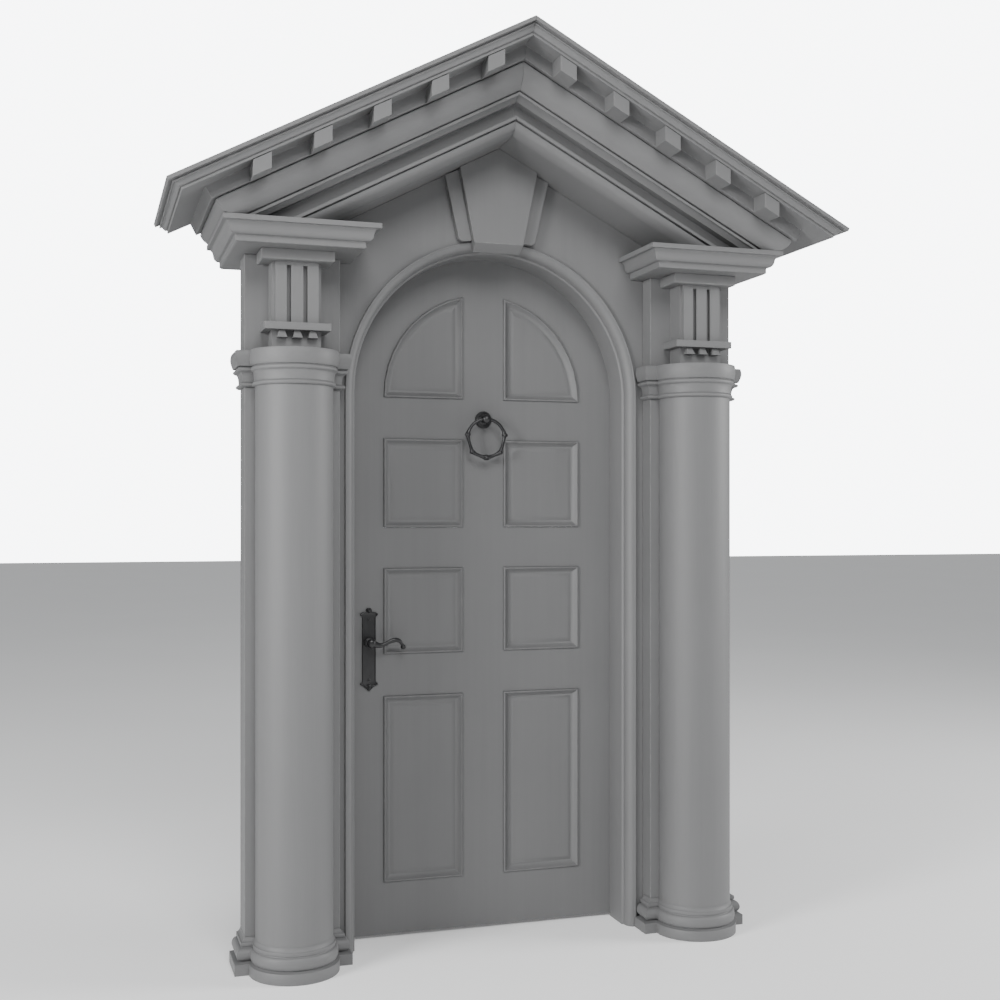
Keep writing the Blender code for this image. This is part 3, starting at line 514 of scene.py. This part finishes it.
for x, z, size, petals in side_knops + [foot_knop] + other_knops:
    made = bmesh.ops.create_uvsphere(work, u_segments=48, v_segments=20, radius=size)
    for vert in made["verts"]:
        swell = 1 + 0.11 * math.cos(petals * math.atan2(vert.co.x, vert.co.y))
        vert.co = Vector((x + vert.co.x * swell, EYE_Y + vert.co.y * swell,
                          KNOCKER_Z + z + vert.co.z * 0.85))
ring = finish_mesh("knocker_ring_forged", work, "ring", iron, 0.0)
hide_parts("knocker_ring")


# The handles: a long cast plate with a scrolled head and a pointed foot on each face of the door,
# a turned collar, two screws, and a lever with a waved arm that ends in a ball.
LEVER_X, LEVER_Z = -0.3906, 0.9700
LEAF_BACK_Y = REST_ON_WALL + 0.1302
PLATE_MID = LEVER_Z - 0.0235
PLATE_TOP = 0.1365           # above and below the plate's middle
PLATE_HALF = 0.0228
SCREW_HEIGHTS = (0.0980, -0.1000)
SLOT_SIZE = (0.0120, 0.0024, 0.0010)
SLOT_TURN = 0.5
SCROLL_OUT = 0.0040
BOSS_OUT = 0.0036
SPINDLE_OUT = 0.0143
ARM_OUT = 0.0290
BALL_R = 0.0088


def scroll_plate(inset):
    """The outline, drawn in by inset. Half of it is set out: crown, horns, side, tail, point."""
    top = PLATE_TOP
    half = [(0.0, top), (0.0045, top - 0.0006), (0.0080, top - 0.0030), (0.0096, top - 0.0068),
            (0.0088, top - 0.0104), (0.0110, top - 0.0134), (0.0160, top - 0.0146),
            (0.0225, top - 0.0150), (0.0262, top - 0.0172), (0.0281, top - 0.0206),
            (0.0278, top - 0.0246), (0.0252, top - 0.0272), (0.0230, top - 0.0300),
            (PLATE_HALF, top - 0.0350), (PLATE_HALF, 0.0370 - top), (0.0230, 0.0320 - top),
            (0.0254, 0.0292 - top), (0.0279, 0.0262 - top), (0.0280, 0.0226 - top),
            (0.0250, 0.0196 - top), (0.0205, 0.0176 - top), (0.0165, 0.0146 - top),
            (0.0115, 0.0104 - top), (0.0062, 0.0054 - top), (0.0025, 0.0022 - top)]
    full = half + [(0.0, -top)] + [(-x, z) for x, z in reversed(half[1:])]
    return [(x * (1 - inset / PLATE_HALF), z * (1 - inset / top)) for x, z in full]


lever_line = [(0.0, 0.0, 0.0125), (0.0140, -0.0040, 0.0104), (0.0290, -0.0068, 0.0080),
              (0.0450, -0.0030, 0.0068), (0.0620, 0.0055, 0.0072), (0.0780, 0.0098, 0.0076),
              (0.0910, 0.0070, 0.0066), (0.1000, -0.0020, 0.0056), (0.1035, -0.0105, 0.0052)]
spindle_rows = [(0.0, 0.0100), (0.0006, 0.0105), (0.0040, 0.0104), (0.0070, 0.0094), (0.0110, 0.0092),
                (0.0150, 0.0112), (0.0185, 0.0140), (0.0225, 0.0157), (0.0270, 0.0162), (0.0315, 0.0155),
                (0.0350, 0.0136), (0.0378, 0.0108), (0.0393, 0.0075), (0.0400, 0.0035)]
head_scroll = [(-0.0262, 0.1150, 0.0030), (-0.0200, 0.1195, 0.0020), (-0.0100, 0.1222, 0.0018),
               (0.0, 0.1232, 0.0022), (0.0100, 0.1222, 0.0018), (0.0200, 0.1195, 0.0020),
               (0.0262, 0.1150, 0.0030)]
foot_scroll = [(x, -z + 0.0030, thick) for x, z, thick in head_scroll]

plate_edge = [(0.0, 0.0), (0.0028, 0.0), (0.0040, 0.0006), (0.0048, 0.0016), (0.0050, 0.0026),
              (0.0046, 0.0036), (0.0036, 0.0042), (0.0034, 0.0050)]
collar_rows = [(0.0030, 0.0156), (0.0050, 0.0158), (0.0064, 0.0146), (0.0072, 0.0150),
               (0.0112, 0.0150), (0.0130, 0.0142), (0.0140, 0.0118)]
screw_rows = [(0.0030, 0.0046), (0.0046, 0.0046), (0.0054, 0.0040), (0.0060, 0.0024), (0.0062, 0.0008)]
bosses = [(0.0, 0.1268, 0.0068), (0.0, -0.1262, 0.0052), (0.0265, 0.1150, 0.0038),
          (-0.0265, 0.1150, 0.0038), (0.0265, -0.1122, 0.0036), (-0.0265, -0.1122, 0.0036),
          (0.0, -0.1175, 0.0060)]

for facing, word, face in ((-1, "front", LEAF_Y), (1, "back", LEAF_BACK_Y)):
    def set_out(height, out=0.0, facing=facing, face=face):
        """Places a piece over the lever's axis, at a height, out from this face of the door."""
        return lambda x, z, y: (LEVER_X + x, face + facing * (out + y), height + z)

    place = set_out(PLATE_MID)
    plate = stacked([[place(x, z, out) for x, z in scroll_plate(inset)] for out, inset in plate_edge])
    parts = [turned(collar_rows, set_out(LEVER_Z), 44)]     # the collar, the screws, the scrolls
    for height in SCREW_HEIGHTS:
        screw = turned(screw_rows, set_out(PLATE_MID + height), 28)
        slot = bmesh.new()
        slot_at = Matrix.Translation(place(0.0, height, screw_rows[-1][0]))
        bmesh.ops.create_cube(slot, size=1.0, matrix=slot_at @ Matrix.Rotation(SLOT_TURN, 4, "Y")
                              @ Matrix.Diagonal(SLOT_SIZE + (1.0,)))
        parts.append(pierce(screw, slot))
    for scroll in (head_scroll, foot_scroll):
        parts.append(forged(flowing(scroll, 5), set_out(PLATE_MID, SCROLL_OUT), 12))
    for x, z, size in bosses:
        bmesh.ops.create_uvsphere(plate, u_segments=20, v_segments=12, radius=size,
                                  matrix=Matrix.Translation(place(x, z, BOSS_OUT)))
    joined = bpy.data.meshes.new("blank")
    for part in parts:
        part.to_mesh(joined)
        plate.from_mesh(joined)
        part.free()
    plate = finish_mesh("handle_plate_%s_cast" % word, plate, "door", iron, 0.0)
    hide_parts("handle_plate_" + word)

    lever = turned(spindle_rows, set_out(LEVER_Z, SPINDLE_OUT), 40)
    place = set_out(LEVER_Z, SPINDLE_OUT + ARM_OUT)
    arm = forged(flowing(lever_line, 6), place, 20, flat=0.8)
    arm.to_mesh(joined)
    arm.free()
    lever.from_mesh(joined)
    bmesh.ops.create_uvsphere(lever, u_segments=28, v_segments=16, radius=BALL_R,
                              matrix=Matrix.Translation(place(0.1045, -0.0135, 0.0)))
    lever = finish_mesh("lever_%s_forged" % word, lever, "levers", iron, 0.0)
    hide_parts("lever_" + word)
